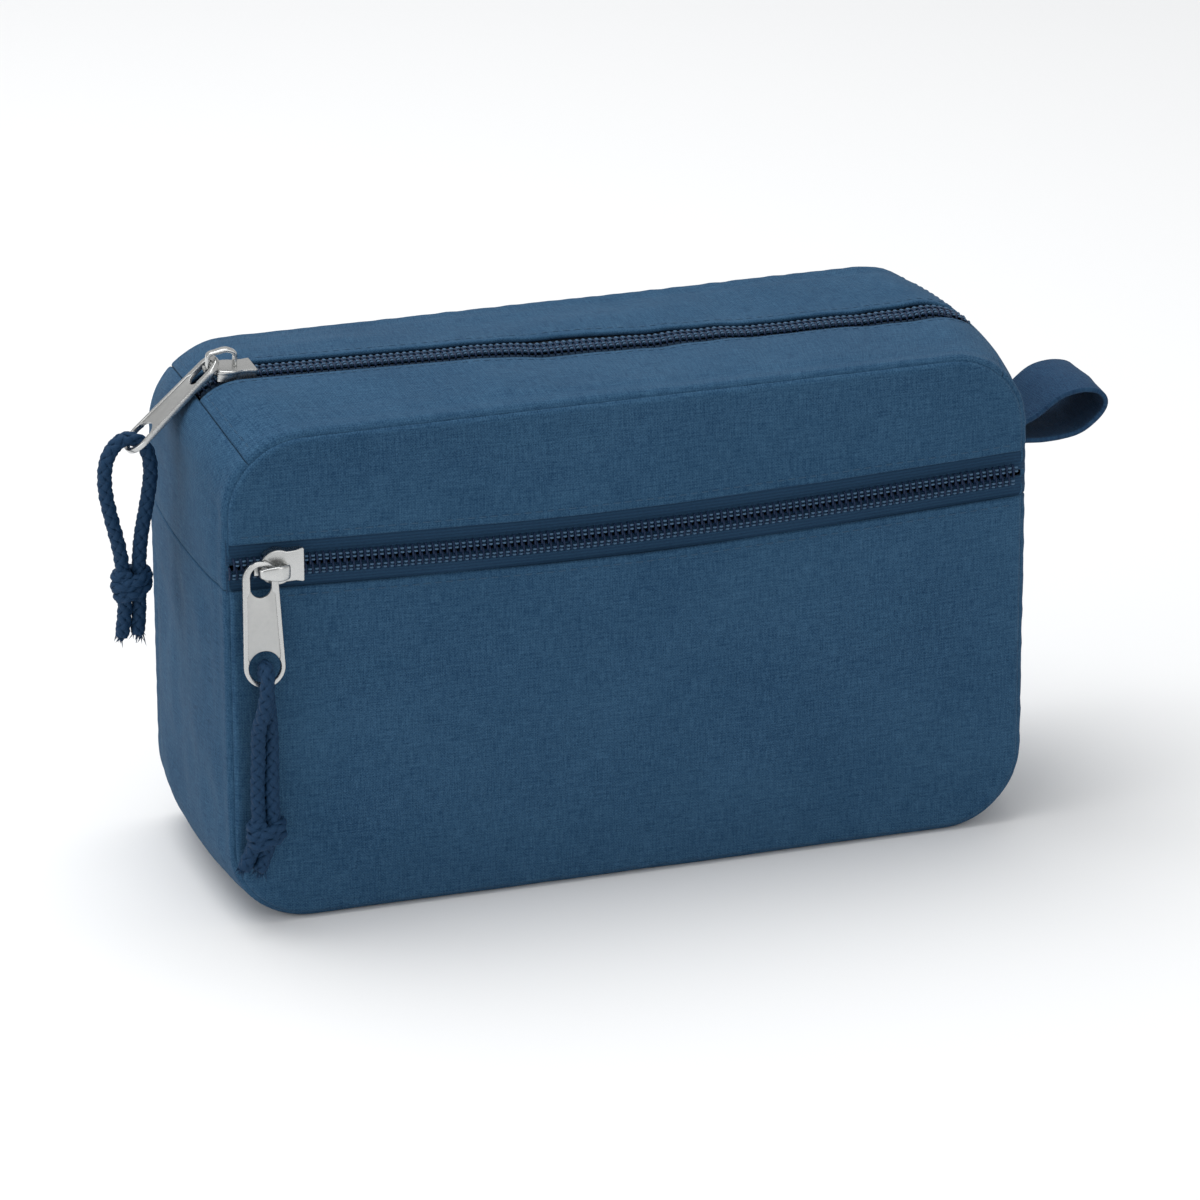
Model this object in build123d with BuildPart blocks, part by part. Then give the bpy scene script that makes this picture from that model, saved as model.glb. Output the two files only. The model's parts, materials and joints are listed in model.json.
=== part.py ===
from build123d import *

from math import asin, cos, degrees, pi, radians, sin, tan
import os

# Zipped cloth pencil case: a boxy pouch with a top zip, a front pocket zip and a carry loop.
# Frame: origin at the centre of the base, +X along the width, +Y towards the back, +Z up.
# All sizes are in millimetres.

# Case
SEAM_WIDTH = 224.0  # front and back panels, seam to seam
SEAM_HEIGHT = 138.5
SEAM_RADIUS = 22.0
CASE_DEPTH = 80.0
MID_WIDTH = 230.0  # the gusset bulges to this between its two seams
MID_TOP_LEFT = 144.5  # the top zip's ridge falls a little to the right
MID_TOP_RIGHT = 138.0
MID_TOP_RADIUS = 16.0
MID_BOTTOM_RADIUS = 20.0
CLOTH = 1.2  # outer cloth, seam allowance included
LINING = 0.8
BASE_TRIM = 0.2  # the gusset is lofted this far below its base, then trimmed flat
SIDE_SEAM_Z = 97.0  # cross seams that join the bottom gusset to the end tabs

# Zips, number 5 nylon coil
ZIP_GAP = 13.0  # between the two folded cloth edges
TAPE = 0.7
TAPE_HALF = 10.0
COIL_NEAR = 0.8  # each coil row, measured from the zip's centre line
COIL_FAR = 2.9
COIL_HEIGHT = 2.0
POCKET_ZIP_Z = 103.5
POCKET_DEPTH = 7.0
BINDING = 1.0

# Sliders and pulls
MAIN_SLIDER_X = -100.0
POCKET_SLIDER_X = -98.5
PLATE_LOW = 2.3  # top plate, above the tape's outer face
PLATE_HIGH = 3.4
MOUTH_X = 6.5
MOUTH_HALF = 4.2
LOBE_X = -0.5
LOBE_RADIUS = 4.8
TONGUE_X = -6.9
TONGUE_HALF = 1.6
CHANNEL_HALF = 3.3
BRIDGE_HALF = 1.1
BRIDGE_LEG_X = -5.85
PULL_THICK = 1.5
PULL_TOP_RADIUS = 4.8
PULL_TIP_RADIUS = 5.6
PULL_RIM = 1.5
PULL_SLOT_HALF = 2.9
PULL_SLOT_LENGTH = 8.5
PULL_HOLE_RADIUS = 4.4
PULL_HOLE_AT = 28.3  # from the top rim's centre line to the tip hole's centre
PULL_RECESS = 0.35
MAIN_PULL_ANGLE = 42.5  # below the horizontal, resting over the left top corner
POCKET_PULL_TILT = 6.0  # the hanging pull leans this far off the front

# Cords and carry loop
CORD_DIAMETER = 3.6
STRAP_HALF = 12.0
STRAP = 1.5

SEAM_Y = CASE_DEPTH / 2 - CLOTH
TOP_SLOPE = asin((MID_TOP_LEFT - MID_TOP_RIGHT) / MID_WIDTH)
CORNER_X = SEAM_WIDTH / 2 - SEAM_RADIUS
CORNER_Z = SEAM_HEIGHT - SEAM_RADIUS
FAR = 60.0  # any length that reaches past the case
CLEAR = 1.0

os.makedirs("parts", exist_ok=True)


def front_plane(y):
    """Upright plane seen from the front: its x is +X, its y is +Z, and it faces -Y."""
    return Plane(origin=(0, y, 0), x_dir=(1, 0, 0), z_dir=(0, -1, 0))


def save(piece, name):
    """Label one finished piece and write its STEP file."""
    piece.label = name
    export_step(piece, f"parts/{name}.step")


# ---------------------------------------------------------------- outlines


def seam_outline(inset, below=0.0):
    """Rounded rectangle of the front and back panels, drawn in the active sketch."""
    high = SEAM_HEIGHT + below - 2 * inset
    with Locations((0, (SEAM_HEIGHT - below) / 2)):
        RectangleRounded(SEAM_WIDTH - 2 * inset, high, SEAM_RADIUS - inset)


def seam_face(y, inset):
    """Face of the gusset's outline at a panel seam, on the upright plane at y."""
    with BuildSketch(front_plane(y)) as face:
        seam_outline(inset, BASE_TRIM)
    return face.sketch


def mid_face(y, inset):
    """Face of the gusset's outline halfway back, where it bulges most, on the plane at y."""
    half = MID_WIDTH / 2
    with BuildSketch(front_plane(y)) as face:
        with BuildLine():
            Polyline(
                (-half, -BASE_TRIM),
                (half, -BASE_TRIM),
                (half, MID_TOP_RIGHT),
                (-half, MID_TOP_LEFT),
                close=True,
            )
        make_face()
        fillet(vertices().sort_by(Axis.Y)[:2], MID_BOTTOM_RADIUS)
        fillet(vertices().sort_by(Axis.Y)[-2:], MID_TOP_RADIUS)
        if inset:
            offset(amount=-inset, mode=Mode.REPLACE)
    return face.sketch


def polygon_face(y, corners):
    """Face of a closed polygon of (x, z) corners on the upright plane at y."""
    with BuildSketch(front_plane(y)) as face:
        with BuildLine():
            Polyline(*corners, close=True)
        make_face()
    return face.sketch


with BuildPart() as gusset_blank:
    loft([seam_face(-SEAM_Y, 0), mid_face(0, 0), seam_face(SEAM_Y, 0)])
    loft(
        [seam_face(-SEAM_Y, CLOTH), mid_face(0, CLOTH), seam_face(SEAM_Y, CLOTH)],
        mode=Mode.SUBTRACT,
    )


def cut_gusset(polygon, y_low, y_high):
    """The part of the gusset shell that lies inside an upright prism."""
    with BuildPart() as piece:
        add(gusset_blank.part)
        extrude(polygon_face(y_low, polygon), amount=y_low - y_high, mode=Mode.INTERSECT)
    return piece.part


# The cross seams of the top panel run across the rounded top corners at 45 degrees.
top_region = [
    (-CORNER_X, CORNER_Z),
    (-CORNER_X - FAR, CORNER_Z + FAR),
    (CORNER_X + FAR, CORNER_Z + FAR),
    (CORNER_X, CORNER_Z),
]
left_tab_region = [
    (-CORNER_X, CORNER_Z),
    (-CORNER_X - FAR, CORNER_Z + FAR),
    (-CORNER_X - FAR, SIDE_SEAM_Z),
    (-CORNER_X, SIDE_SEAM_Z),
]
right_tab_region = [(-x, z) for x, z in left_tab_region]
bottom_region = [
    (-MID_WIDTH, 0),
    (MID_WIDTH, 0),
    (MID_WIDTH, SIDE_SEAM_Z),
    (-MID_WIDTH, SIDE_SEAM_Z),
]

# ---------------------------------------------------------------- cloth of the case

save(cut_gusset(bottom_region, -FAR, FAR), "bottom_gusset")
save(cut_gusset(left_tab_region, -FAR, FAR), "left_end_tab")
save(cut_gusset(right_tab_region, -FAR, FAR), "right_end_tab")
save(cut_gusset(top_region, -FAR, -ZIP_GAP / 2), "top_front_strip")
save(cut_gusset(top_region, ZIP_GAP / 2, FAR), "top_back_strip")


def panel(y, thick, inset, z_low, z_high):
    """Flat panel of the seam outline between two heights, from y forward by thick."""
    with BuildPart() as plate:
        with BuildSketch(front_plane(y)):
            seam_outline(inset)
            with Locations((0, (z_low + z_high) / 2)):
                Rectangle(MID_WIDTH, z_high - z_low, mode=Mode.INTERSECT)
        extrude(amount=thick)
    return plate.part


save(panel(-SEAM_Y, CLOTH, 0, POCKET_ZIP_Z + ZIP_GAP / 2, SEAM_HEIGHT), "front_upper_panel")
save(panel(-SEAM_Y, CLOTH, 0, 0, POCKET_ZIP_Z - ZIP_GAP / 2), "pocket_front_panel")
save(panel(CASE_DEPTH / 2, CLOTH, 0, 0, SEAM_HEIGHT), "back_panel")

LINING_Y = -SEAM_Y + CLEAR + POCKET_DEPTH
RING_INSET = CLOTH + 0.3
save(panel(LINING_Y + LINING, LINING, RING_INSET, 0, SEAM_HEIGHT), "pocket_back_panel")


def seam_binding(y, length):
    """Bias binding round the inside of a panel seam, from y forward by length."""
    with BuildPart() as ring:
        with BuildSketch(front_plane(y)):
            seam_outline(RING_INSET)
            with Locations((0, SEAM_HEIGHT / 2)):
                RectangleRounded(
                    SEAM_WIDTH - 2 * (RING_INSET + BINDING),
                    SEAM_HEIGHT - 2 * (RING_INSET + BINDING),
                    SEAM_RADIUS - RING_INSET - BINDING,
                    mode=Mode.SUBTRACT,
                )
        extrude(amount=length)
    return ring.part


save(seam_binding(LINING_Y, POCKET_DEPTH), "front_seam_binding")
save(seam_binding(SEAM_Y, POCKET_DEPTH), "back_seam_binding")

# ---------------------------------------------------------------- zip tapes and coils


def mid_band(outer_inset, inner_inset, region, y_low, y_high):
    """Band under the top panel, between two insets of the mid outline and two depths."""
    depth = y_low - y_high
    with BuildPart() as band:
        extrude(mid_face(y_low, outer_inset), amount=depth)
        extrude(mid_face(y_low, inner_inset), amount=depth, mode=Mode.SUBTRACT)
        extrude(polygon_face(y_low, region), amount=depth, mode=Mode.INTERSECT)
    return band.part


TAPE_TAIL = 4.0  # the tape runs on under the end tabs
tape_region = [
    (-CORNER_X - TAPE_TAIL, CORNER_Z),
    (-CORNER_X - TAPE_TAIL - FAR, CORNER_Z + FAR),
    (CORNER_X + TAPE_TAIL + FAR, CORNER_Z + FAR),
    (CORNER_X + TAPE_TAIL, CORNER_Z),
]
# The coil rows stop where the ridge starts to curve, so the slider runs on a straight chain.
coil_end = MID_WIDTH / 2 - MID_TOP_RADIUS - 2
coil_region = [(-coil_end, 100), (-coil_end, 200), (coil_end + 4, 200), (coil_end + 4, 100)]
TAPE_TOP = COIL_HEIGHT

for side, sign in (("front", -1), ("back", 1)):
    tape_ys = sorted((sign * COIL_NEAR, sign * TAPE_HALF))
    coil_ys = sorted((sign * COIL_NEAR, sign * COIL_FAR))
    save(mid_band(TAPE_TOP, TAPE_TOP + TAPE, tape_region, *tape_ys), f"main_zip_tape_{side}")
    save(mid_band(0, COIL_HEIGHT, coil_region, *coil_ys), f"main_zip_coil_{side}")


def pocket_strip(z_near, z_far, y_back, thick, half_length):
    """Straight strip of the pocket zip at one side of its centre line."""
    with BuildPart() as strip:
        with BuildSketch(front_plane(y_back)):
            with Locations((0, POCKET_ZIP_Z + (z_near + z_far) / 2)):
                Rectangle(2 * half_length, abs(z_far - z_near))
        extrude(amount=thick)
    return strip.part


TAPE_REACH = SEAM_WIDTH / 2 - RING_INSET
for side, sign in (("upper", 1), ("lower", -1)):
    near = sign * COIL_NEAR
    tape = pocket_strip(near, sign * TAPE_HALF, -SEAM_Y + TAPE, TAPE, TAPE_REACH)
    coil = pocket_strip(near, sign * COIL_FAR, -SEAM_Y, COIL_HEIGHT, TAPE_REACH)
    save(tape, f"pocket_zip_tape_{side}")
    save(coil, f"pocket_zip_coil_{side}")

# ---------------------------------------------------------------- sliders

# Planes with x along the zip, z out of the cloth, and the origin on the tape's outer face.
ridge = Vector(sin(TOP_SLOPE), 0, cos(TOP_SLOPE))
ridge_z = (MID_TOP_LEFT + MID_TOP_RIGHT) / 2
ridge_point = Vector(
    MAIN_SLIDER_X,
    0,
    ridge_z - MAIN_SLIDER_X * tan(TOP_SLOPE),
)
main_plane = Plane(
    origin=ridge_point - ridge * COIL_HEIGHT,
    x_dir=(cos(TOP_SLOPE), 0, -sin(TOP_SLOPE)),
    z_dir=ridge,
)
pocket_plane = Plane(
    origin=(POCKET_SLIDER_X, -SEAM_Y, POCKET_ZIP_Z),
    x_dir=(1, 0, 0),
    z_dir=(0, -1, 0),
)


def plate_outline():
    """Plan of a slider's plates: a round lobe at the wide end and a square mouth."""
    with Locations((LOBE_X, 0)):
        Circle(LOBE_RADIUS)
    with Locations(((LOBE_X + MOUTH_X) / 2, 0)):
        Rectangle(MOUTH_X - LOBE_X, 2 * MOUTH_HALF)


def slider_body(plane, bottom_start):
    """Die-cast slider: top plate with side flanges, central post and bottom plate."""
    flange_low = 0.4
    post_half = 0.5
    bottom_high = -TAPE - 0.3
    bottom_low = bottom_high - 1.0
    with BuildPart() as body:
        with BuildSketch(plane.offset(flange_low)):
            plate_outline()
            with Locations((0, 0)):
                Rectangle(4 * MOUTH_X, 2 * CHANNEL_HALF, mode=Mode.SUBTRACT)
        extrude(amount=PLATE_HIGH - flange_low)
        with BuildSketch(plane.offset(PLATE_LOW)):
            plate_outline()
            with Locations((TONGUE_X / 2, 0)):
                Rectangle(-TONGUE_X, 2 * TONGUE_HALF)
        extrude(amount=PLATE_HIGH - PLATE_LOW)
        with BuildSketch(plane.offset(bottom_low)):
            with Locations(((bottom_start + MOUTH_X) / 2, 0)):
                RectangleRounded(MOUTH_X - bottom_start, 2 * MOUTH_HALF, 1.0)
        extrude(amount=bottom_high - bottom_low)
        with BuildSketch(plane.offset(bottom_low)):
            with Locations((-2.0, 0)):
                Rectangle(6.0, 2 * post_half)
        extrude(amount=PLATE_HIGH - bottom_low)
    return body.part


def slider_bridge(plane):
    """Bent bar over the top plate: steep leg at the mouth end, long slope to the tongue."""
    bar = 1.1
    left = BRIDGE_LEG_X
    right = 1.55
    side = Plane(origin=plane.origin, x_dir=plane.x_dir, z_dir=-plane.y_dir)
    with BuildPart() as bridge:
        with BuildSketch(side):
            with BuildLine():
                FilletPolyline(
                    (left, PLATE_HIGH),
                    (left, 6.8),
                    (-1.2, 7.9),
                    (right, 6.9),
                    (right, PLATE_HIGH),
                    radius=1.2,
                )
            trace(line_width=bar)
        extrude(amount=BRIDGE_HALF, both=True)
        with BuildSketch(plane.offset(PLATE_HIGH)):
            Rectangle(4 * MOUTH_X, 4 * MOUTH_HALF)
        extrude(amount=2 * PLATE_HIGH, mode=Mode.INTERSECT)
    return bridge.part


save(slider_body(main_plane, -1.0), "main_slider_body")
save(slider_bridge(main_plane), "main_slider_bridge")
save(slider_body(pocket_plane, -5.0), "pocket_slider_body")
save(slider_bridge(pocket_plane), "pocket_slider_bridge")

# ---------------------------------------------------------------- pulls

PULL_TOP_AT = PULL_TOP_RADIUS - PULL_RIM / 2  # centre of the round top end, below the rim


def pull_tab(plane):
    """Pressed pull: origin at the top rim's centre line, tip towards the plane's -y."""
    recess_top = PULL_SLOT_LENGTH + PULL_RIM / 2 - 0.6
    recess_low = PULL_HOLE_AT - PULL_HOLE_RADIUS + 0.9
    with BuildPart() as tab:
        with BuildSketch(plane.offset(-PULL_THICK / 2)):
            with Locations((0, -PULL_TOP_AT)):
                Circle(PULL_TOP_RADIUS)
            with Locations((0, -PULL_HOLE_AT)):
                Circle(PULL_TIP_RADIUS)
            with BuildLine():
                Polyline(
                    (-PULL_TOP_RADIUS, -PULL_TOP_AT),
                    (PULL_TOP_RADIUS, -PULL_TOP_AT),
                    (PULL_TIP_RADIUS, -PULL_HOLE_AT),
                    (-PULL_TIP_RADIUS, -PULL_HOLE_AT),
                    close=True,
                )
            make_face()
            with Locations((0, -PULL_RIM / 2 - PULL_SLOT_LENGTH / 2)):
                SlotOverall(PULL_SLOT_LENGTH, 2 * PULL_SLOT_HALF, rotation=90, mode=Mode.SUBTRACT)
            with Locations((0, -PULL_HOLE_AT)):
                Circle(PULL_HOLE_RADIUS, mode=Mode.SUBTRACT)
        extrude(amount=PULL_THICK)
        rails = 1.1
        for level, depth in ((PULL_THICK / 2, -PULL_RECESS), (-PULL_THICK / 2, PULL_RECESS)):
            with BuildSketch(plane.offset(level)):
                with BuildLine():
                    Polyline(
                        (-PULL_TOP_RADIUS + rails, -recess_top),
                        (PULL_TOP_RADIUS - rails, -recess_top),
                        (PULL_TIP_RADIUS - rails, -recess_low),
                        (-PULL_TIP_RADIUS + rails, -recess_low),
                        close=True,
                    )
                make_face()
            extrude(amount=depth, mode=Mode.SUBTRACT)
    return tab.part


# Main pull: the top rim lies across the slider inside the bridge, next to its left leg.
RIM_X = -3.8
RIM_Z = 5.4
main_rim = main_plane.from_local_coords((RIM_X, 0, RIM_Z))
pull_angle = radians(MAIN_PULL_ANGLE)
main_pull_plane = Plane(
    origin=main_rim,
    x_dir=(0, -1, 0),
    z_dir=(-sin(pull_angle), 0, cos(pull_angle)),
)
save(pull_tab(main_pull_plane), "main_pull_tab")

# Pocket pull: the bridge's left leg stands in the slot, and the pull hangs from it.
LEG_TO_RIM = BRIDGE_HALF + 0.4 + PULL_RIM / 2
PULL_OUT = 4.8
tilt = radians(POCKET_PULL_TILT)
pocket_rim = pocket_plane.from_local_coords((BRIDGE_LEG_X, LEG_TO_RIM, PULL_OUT))
pocket_pull_plane = Plane(
    origin=pocket_rim,
    x_dir=(1, 0, 0),
    z_dir=(0, -cos(tilt), sin(tilt)),
)
save(pull_tab(pocket_pull_plane), "pocket_pull_tab")

TIP_RIM_AT = PULL_HOLE_AT + (PULL_HOLE_RADIUS + PULL_TIP_RADIUS) / 2
main_tip = main_pull_plane.from_local_coords((0, -TIP_RIM_AT, 0))
pocket_tip = pocket_pull_plane.from_local_coords((0, -TIP_RIM_AT, 0))

# ---------------------------------------------------------------- cords and knots


def corner_radii(route):
    """Radius of each arc: 0.45 of the shorter run over the tangent of half the turn."""
    points = [Vector(*point) for point in route]
    radii = []
    for before, here, after in zip(points, points[1:], points[2:]):
        run_in = here - before
        run_out = after - here
        half_turn = radians(run_in.get_angle(run_out)) / 2
        radii.append(0.45 * min(run_in.length, run_out.length) / tan(half_turn))
    return radii


def cord(route, name):
    """Round cord along straight runs joined by tangent arcs."""
    radii = corner_radii(route)
    with BuildPart() as tube:
        with BuildLine() as path:
            FilletPolyline(*route, radius=radii)
        start = path.wires()[0]
        with BuildSketch(Plane(origin=start @ 0, z_dir=start % 0)):
            Circle(CORD_DIAMETER / 2)
        sweep()
    expected = pi * CORD_DIAMETER**2 / 4 * start.length
    print(name, "radii", [round(r, 1) for r in radii])
    print(name, "length", round(start.length, 1), "volume ratio", round(tube.part.volume / expected, 4))
    return tube.part


def knot(centre, half_width, half_height, half_depth, name):
    """Outer shape of an overhand knot: a closed ellipsoid."""
    with BuildPart() as lump:
        with BuildSketch(Plane.XZ):
            Ellipse(half_width, half_height)
            with Locations((-half_width, 0)):
                Rectangle(2 * half_width, 4 * half_height, mode=Mode.SUBTRACT)
        revolve(axis=Axis.Z)
    save(Pos(*centre) * scale(lump.part, by=(1, half_depth / half_width, 1)), name)


# The main cord hangs from the pull's tip in an open loop, beyond the left end of the case.
main_route = [
    (-131.4, 0.2, 71.5),
    (-130.3, -0.3, 79.0),
    (-130.4, 0.1, 87.5),
    (-131.1, 0.3, 96.0),
    (-133.2, 0.2, 105.0),
    (-135.2, -0.2, 115.0),
    (-134.4, -0.2, 123.8),
    (-129.3, 0.0, 129.0),
    (-123.4, 0.0, 126.2),
    (-121.8, 0.2, 119.0),
    (-123.4, 0.3, 109.0),
    (-125.7, 0.0, 99.0),
    (-126.5, -0.2, 87.5),
    (-126.3, 0.2, 79.0),
    (-127.2, -0.2, 71.8),
]
save(cord(main_route, "main_pull_cord"), "main_pull_cord")
knot((-128.4, 0, 87.0), 5.6, 4.9, 4.6, "main_cord_knot")

# The pocket cord passes over the tip rim from front to back, and both strands hang together.
pocket_route = [
    (-110.8, -44.2, 19.0),
    (-108.4, -45.0, 24.5),
    (-106.5, -45.4, 31.0),
    (-106.8, -45.1, 41.0),
    (-106.3, -45.4, 51.0),
    (-106.6, -46.4, 59.5),
    (-105.6, -50.2, 66.5),
    (-104.9, -51.1, 72.8),
    (-104.6, -50.4, 76.2),
    (-104.2, -46.8, 77.9),
    (-103.6, -43.4, 76.0),
    (-103.1, -42.8, 70.6),
    (-102.6, -44.4, 62.0),
    (-102.5, -45.1, 52.5),
    (-102.9, -45.3, 42.0),
    (-102.6, -45.4, 31.0),
    (-104.2, -45.0, 24.5),
    (-106.6, -44.4, 18.0),
]
save(cord(pocket_route, "pocket_pull_cord"), "pocket_pull_cord")
knot((-104.6, -45.2, 29.5), 5.6, 4.6, 4.0, "pocket_cord_knot")

# ---------------------------------------------------------------- carry loop

LOOP_ROOT_X = MID_WIDTH / 2 + 1.3
with BuildPart() as carry_loop:
    with BuildSketch(front_plane(0)):
        with BuildLine():
            FilletPolyline(
                (LOOP_ROOT_X, 101.9),
                (131.0, 100.6),
                (140.6, 102.2),
                (147.4, 110.0),
                (141.6, 115.0),
                (132.4, 114.0),
                (124.4, 105.8),
                (LOOP_ROOT_X, 104.3),
                radius=3.0,
            )
        trace(line_width=STRAP)
    extrude(amount=STRAP_HALF, both=True)
save(carry_loop.part, "carry_loop")

print("main slide axis", [round(v, 5) for v in main_plane.x_dir])
print("main rim", [round(v, 3) for v in main_rim], "main tip", [round(v, 3) for v in main_tip])
print("pocket leg", round(POCKET_SLIDER_X + BRIDGE_LEG_X, 3), POCKET_ZIP_Z)
print("pocket rim", [round(v, 3) for v in pocket_rim], "tip", [round(v, 3) for v in pocket_tip])
print("top slope in degrees", round(degrees(TOP_SLOPE), 3))
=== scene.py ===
# %% Load the frame
import json
from math import cos, pi, radians, sin

import bmesh
import bpy
import numpy as np
from mathutils import Matrix, Vector


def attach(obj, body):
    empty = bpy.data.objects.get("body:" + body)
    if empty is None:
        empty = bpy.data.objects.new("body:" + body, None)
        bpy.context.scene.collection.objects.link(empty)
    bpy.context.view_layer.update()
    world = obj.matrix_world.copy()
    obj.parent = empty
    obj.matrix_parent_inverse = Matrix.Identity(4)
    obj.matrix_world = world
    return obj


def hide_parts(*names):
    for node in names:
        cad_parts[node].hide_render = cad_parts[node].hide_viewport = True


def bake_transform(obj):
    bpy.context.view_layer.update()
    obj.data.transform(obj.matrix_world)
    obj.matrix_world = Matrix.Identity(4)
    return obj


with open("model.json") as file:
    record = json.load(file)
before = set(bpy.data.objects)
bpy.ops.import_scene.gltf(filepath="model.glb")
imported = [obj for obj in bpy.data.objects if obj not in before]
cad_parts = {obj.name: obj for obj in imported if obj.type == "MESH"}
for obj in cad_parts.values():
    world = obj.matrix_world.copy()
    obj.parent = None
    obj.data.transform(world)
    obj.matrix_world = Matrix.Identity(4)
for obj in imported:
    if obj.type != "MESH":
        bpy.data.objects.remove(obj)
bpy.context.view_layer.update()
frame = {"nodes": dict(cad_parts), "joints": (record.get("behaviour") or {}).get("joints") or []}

MM = 0.001
joints = {joint["name"]: joint for joint in frame["joints"]}

# %% [markdown]
# The camera stands to the left of the case and looks down on it a little. A long lens from two
# metres away keeps the edges of the case nearly parallel.
# Camera and light come first, because each later step is judged through them.

# %% Camera
AZIMUTH, ELEVATION, ROLL = radians(17.71), radians(22.14), radians(-0.26)
DISTANCE = 1971 * MM
AIM = Vector((0, 1.36, 68.2)) * MM
ASIDE, LOWER = 3.72 * MM, 3.19 * MM  # the camera is moved this far right and down
LENS = 215.6
back = Vector((-sin(AZIMUTH) * cos(ELEVATION), -cos(AZIMUTH) * cos(ELEVATION), sin(ELEVATION)))
level = Vector((cos(AZIMUTH), -sin(AZIMUTH), 0))
upright = back.cross(level)
right = level * cos(ROLL) + upright * sin(ROLL)
up = upright * cos(ROLL) - level * sin(ROLL)

camera_data = bpy.data.cameras.new("camera")
camera_data.sensor_width = 36
camera_data.lens = LENS
camera_data.clip_start, camera_data.clip_end = 0.05, 20
camera = bpy.data.objects.new("camera", camera_data)
bpy.context.scene.collection.objects.link(camera)
place = Matrix((right, up, back)).transposed().to_4x4()
place.translation = AIM + right * ASIDE - up * LOWER + back * DISTANCE
camera.matrix_world = place
bpy.context.scene.camera = camera
bpy.context.scene.view_settings.view_transform = "Standard"

# %% [markdown]
# A soft studio is large dim lights, not small bright ones: a wide panel overhead lights the top,
# a second one lights the left end, and a weak one in front opens the shadows. The floor is a
# plain pale sheet, and the world adds the light that a white room would send back.

# %% Floor and lights
def area_light(name, place, size, power, aim=(0, 0, 0.07)):
    """Square light of a side in metres, turned so that it faces its aim."""
    data = bpy.data.lights.new(name, "AREA")
    data.size, data.energy = size, power
    lamp = bpy.data.objects.new(name, data)
    bpy.context.scene.collection.objects.link(lamp)
    facing = Vector(place) - Vector(aim)
    turn = facing.to_track_quat("Z", "Y").to_matrix().to_4x4()
    turn.translation = Vector(place)
    lamp.matrix_world = turn


area_light("overhead", (-0.25, 0.25, 1.3), 1.2, 15)
area_light("left", (-1.5, -0.3, 0.65), 0.9, 5)
area_light("front", (0.5, -1.7, 0.75), 1.1, 5)

world = bpy.data.worlds.new("room")
world.use_nodes = True
world.node_tree.nodes["Background"].inputs["Color"].default_value = (1, 1, 1, 1)
world.node_tree.nodes["Background"].inputs["Strength"].default_value = 0.55
bpy.context.scene.world = world

FLOOR = 6.0
floor_mesh = bpy.data.meshes.new("floor")
floor_corners = [(-FLOOR, -FLOOR, 0), (FLOOR, -FLOOR, 0), (FLOOR, FLOOR, 0), (-FLOOR, FLOOR, 0)]
floor_mesh.from_pydata(floor_corners, [], [(0, 1, 2, 3)])
floor = bpy.data.objects.new("floor", floor_mesh)
bpy.context.scene.collection.objects.link(floor)

# %% [markdown]
# Shader maths is easier to read as arithmetic. This small class holds one socket, and its
# operators add the Math nodes, so `0.5 + weave * 0.1` is a chain of nodes. One method adds any
# other node: its settings are set first, then its inputs are filled or linked.

# %% Shader helper
class Wire:
    """One socket of a material's node tree."""

    def __init__(self, tree, socket=None):
        self.tree = tree
        self.socket = socket

    def node(self, kind, settings=None, inputs=None, out=0):
        """Add a node, set it up, fill or link its inputs, and return one of its outputs."""
        made = self.tree.nodes.new(kind)
        for name, value in (settings or {}).items():
            setattr(made, name, value)
        for name, value in (inputs or {}).items():
            if isinstance(value, Wire):
                self.tree.links.new(value.socket, made.inputs[name])
            else:
                made.inputs[name].default_value = value
        return Wire(self.tree, made.outputs[out] if made.outputs else None)

    def math(self, operation, *values):
        return self.node("ShaderNodeMath", {"operation": operation}, dict(enumerate(values)))

    def __add__(self, other):
        return self.math("ADD", self, other)

    def __sub__(self, other):
        return self.math("SUBTRACT", self, other)

    def __rsub__(self, other):
        return self.math("SUBTRACT", other, self)

    def __mul__(self, other):
        return self.math("MULTIPLY", self, other)

    __radd__ = __add__
    __rmul__ = __mul__

    def clamped(self):
        """This value, kept between nothing and one."""
        return self.math("MINIMUM", self.math("MAXIMUM", self, 0.0), 1.0)

    def mix(self, low, high):
        """Colour between two colours, by this value."""
        inputs = {0: self, 6: low, 7: high}
        return self.node("ShaderNodeMix", {"data_type": "RGBA"}, inputs, out=2)

    def vector(self, x, y, z=0.0):
        return self.node("ShaderNodeCombineXYZ", inputs={0: x, 1: y, 2: z})

    def noise(self, vector, scale, detail=2.0):
        inputs = {"Vector": vector, "Scale": scale, "Detail": detail}
        return self.node("ShaderNodeTexNoise", inputs=inputs)

    def bump(self, height, strength, distance):
        inputs = {"Strength": strength, "Distance": distance, "Height": height}
        return self.node("ShaderNodeBump", inputs=inputs)


def new_material(name):
    """Empty material with its output, ready for a shader."""
    material = bpy.data.materials.new(name)
    material.use_nodes = True
    material.node_tree.nodes.clear()
    return material, Wire(material.node_tree)


SHEEN_ROUGHNESS = 0.45
METAL_GLOSS, CLOTH_GLOSS = 0.5, 0.18


def finish_material(wire, colour, roughness, normal=None, metallic=0.0, sheen=0.0):
    """Principled shader: what varies comes as wires, and constants sit on the sockets."""
    inputs = {"Base Color": colour, "Roughness": roughness, "Metallic": metallic}
    inputs["Sheen Weight"] = sheen
    inputs["Sheen Roughness"] = SHEEN_ROUGHNESS
    inputs["Specular IOR Level"] = METAL_GLOSS if metallic else CLOTH_GLOSS
    if normal is not None:
        inputs["Normal"] = normal
    shader = wire.node("ShaderNodeBsdfPrincipled", inputs=inputs)
    wire.node("ShaderNodeOutputMaterial", inputs={"Surface": shader})


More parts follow.
